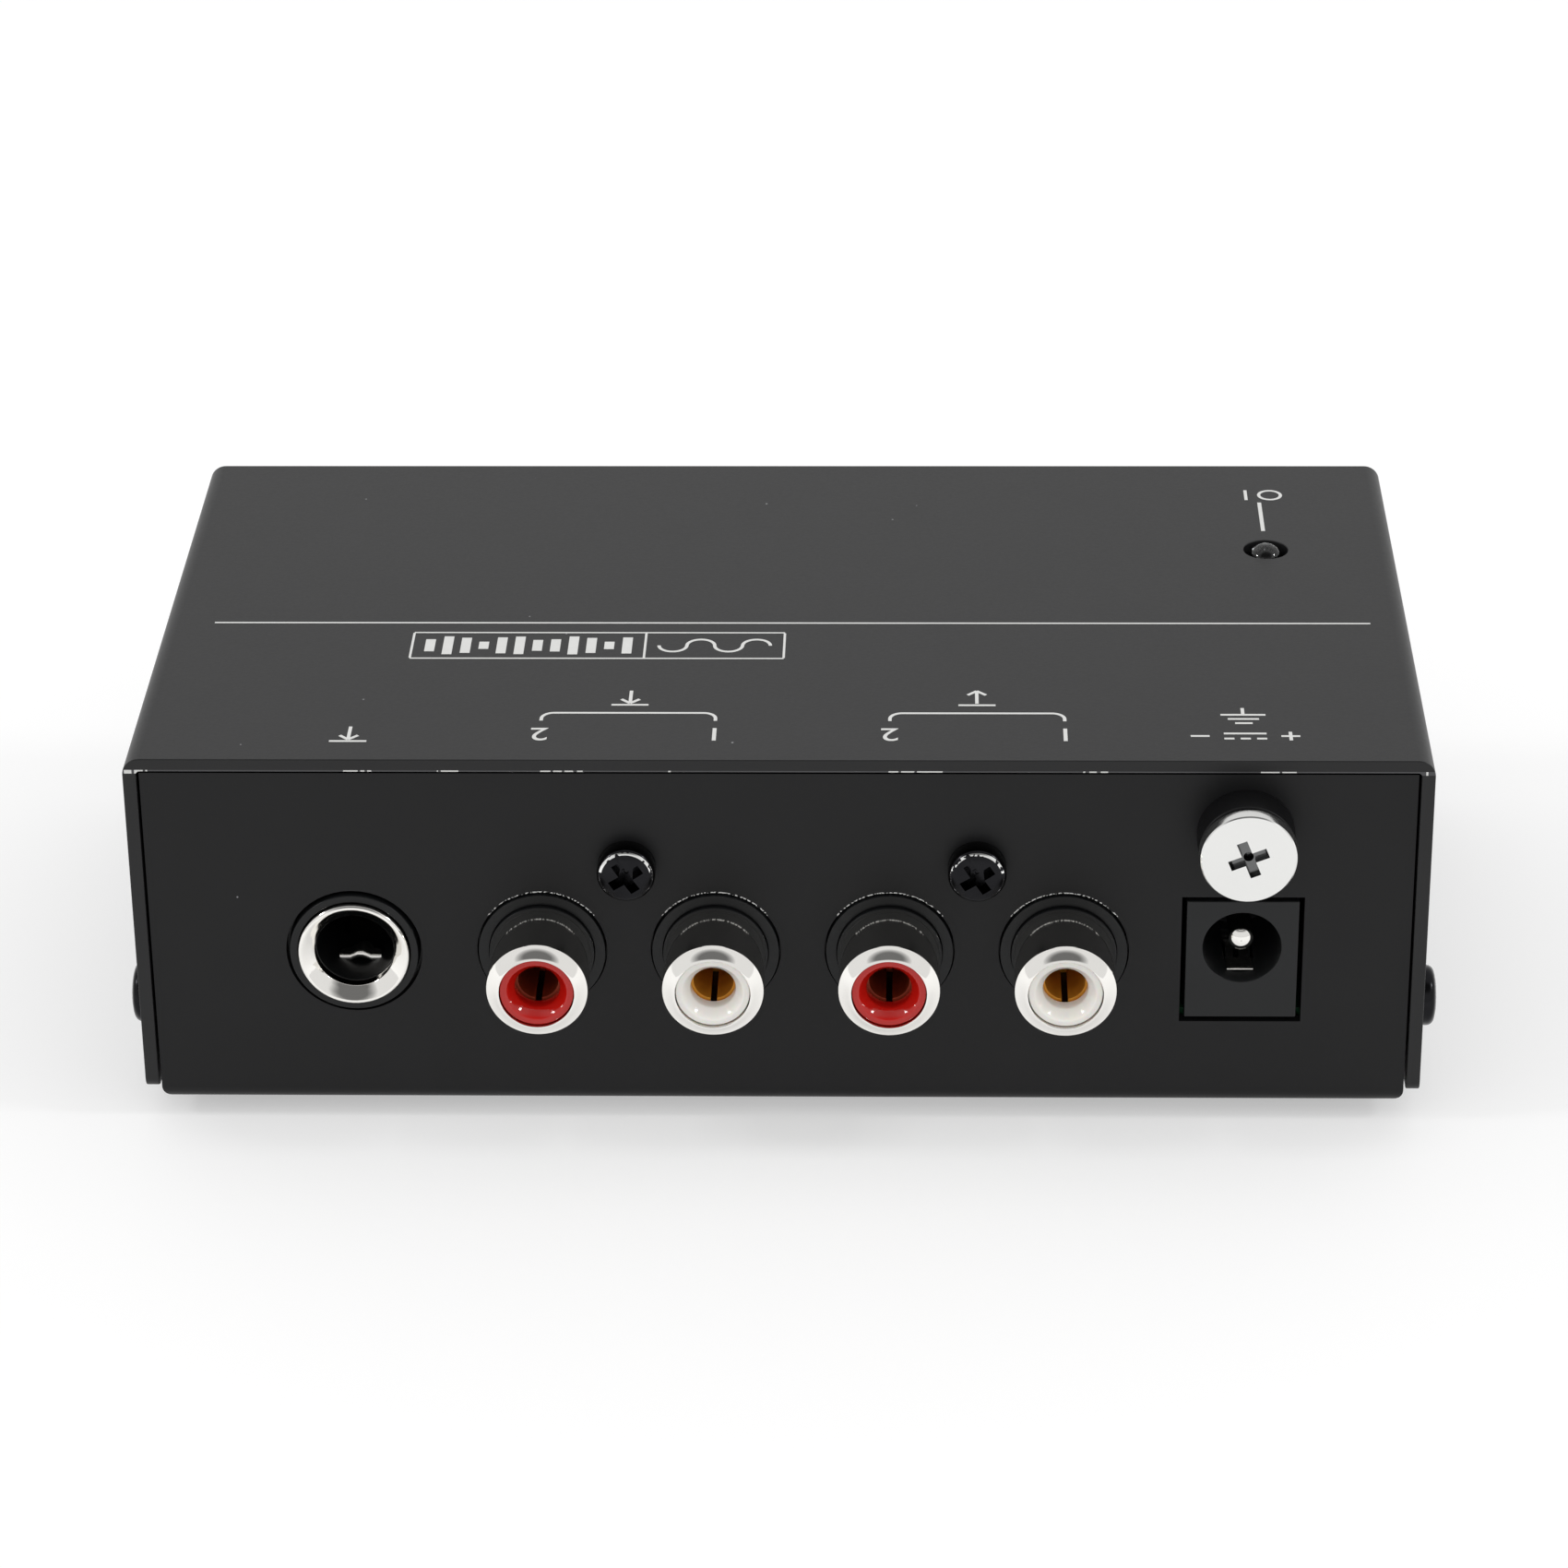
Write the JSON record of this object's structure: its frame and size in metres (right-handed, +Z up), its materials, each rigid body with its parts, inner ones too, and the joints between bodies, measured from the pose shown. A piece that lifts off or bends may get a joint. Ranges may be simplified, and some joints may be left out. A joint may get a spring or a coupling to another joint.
{
  "type": "phono preamp",
  "caption": "Compact phono preamp in a folded black steel box, with phono sockets, a phone jack, a power socket and an earth terminal on one panel.",
  "frame": {"origin": "on the surface that the feet stand on, in the middle of the whole outline with its sockets", "axes": "X across the socket panel, -Y out of the sockets, +Z up"},
  "size_m": [0.1076, 0.065, 0.0335],
  "materials": {
    "powder_coated_steel": "satin black powder coat",
    "blackened_screw_steel": "black zinc",
    "rubber": "matte moulded rubber",
    "circuit_board": "green solder mask",
    "tinned_steel": "bright tin plate",
    "socket_plastic": "moulded black PBT",
    "nickel_plating": "bright nickel plate",
    "red_insulator": "moulded red plastic",
    "white_insulator": "moulded off-white plastic",
    "contact_brass": "bare brass",
    "spring_alloy": "nickel-plated spring alloy",
    "lamp_epoxy": "clear cast epoxy",
    "white_nylon": "moulded nylon",
    "chip_epoxy": "moulded black epoxy",
    "film_capacitor_resin": "dipped red resin",
    "capacitor_sleeve": "shrunk vinyl sleeve",
    "resistor_lacquer": "baked tan lacquer",
    "ferrite": "sintered ferrite"
  },
  "bodies": {
    "case": {"top_cover": "powder_coated_steel", "bottom_chassis": "powder_coated_steel", "case_screws": "blackened_screw_steel", "rubber_feet": "rubber", "main_pcb": "circuit_board", "board_pillars": "tinned_steel", "board_screws": "tinned_steel", "rca_output_housing": "socket_plastic", "rca_input_housing": "socket_plastic", "rca_panel_screws": "blackened_screw_steel", "rca_shell_output_right": "nickel_plating", "rca_shell_output_left": "nickel_plating", "rca_shell_input_right": "nickel_plating", "rca_shell_input_left": "nickel_plating", "rca_insulator_output_right": "red_insulator", "rca_insulator_output_left": "white_insulator", "rca_insulator_input_right": "red_insulator", "rca_insulator_input_left": "white_insulator", "rca_contact_output_right": "contact_brass", "rca_contact_output_left": "contact_brass", "rca_contact_input_right": "contact_brass", "rca_contact_input_left": "contact_brass", "rca_ground_tab_output_right": "tinned_steel", "rca_ground_tab_output_left": "tinned_steel", "rca_ground_tab_input_right": "tinned_steel", "rca_ground_tab_input_left": "tinned_steel", "phone_jack_housing": "socket_plastic", "phone_jack_ferrule": "nickel_plating", "phone_jack_tip_spring": "spring_alloy", "phone_jack_ring_spring": "spring_alloy", "dc_jack_housing": "socket_plastic", "dc_jack_pin": "nickel_plating", "dc_jack_spring": "spring_alloy", "ground_post": "powder_coated_steel", "power_led": "lamp_epoxy", "led_spacer": "white_nylon", "opamp_left": "chip_epoxy", "opamp_right": "chip_epoxy", "film_capacitors_left": "film_capacitor_resin", "film_capacitors_right": "film_capacitor_resin", "coupling_capacitors": "capacitor_sleeve", "output_capacitors": "capacitor_sleeve", "supply_capacitors": "capacitor_sleeve", "resistors_left": "resistor_lacquer", "resistors_right": "resistor_lacquer", "supply_choke": "ferrite", "supply_diode": "chip_epoxy", "voltage_regulator": "chip_epoxy"},
    "earth_washer": {"ground_washer": "nickel_plating"},
    "earth_screw": {"ground_screw": "nickel_plating"}
  },
  "joints": [
    {"name": "earth_screw_travel", "type": "slide", "parent": "case", "child": "earth_washer", "axis": [0, -1, 0], "range_m": [0, 0.0028]},
    {"name": "earth_screw_turn", "type": "hinge", "parent": "earth_washer", "child": "earth_screw", "pos_m": [0.0372, -0.02875, 0.02645], "axis": [0, -1, 0], "range_deg": [0, 1440]}
  ],
  "couplings": [
    {"joint": "earth_screw_turn", "follows": "earth_screw_travel", "rad_per_m": 8976}
  ]
}
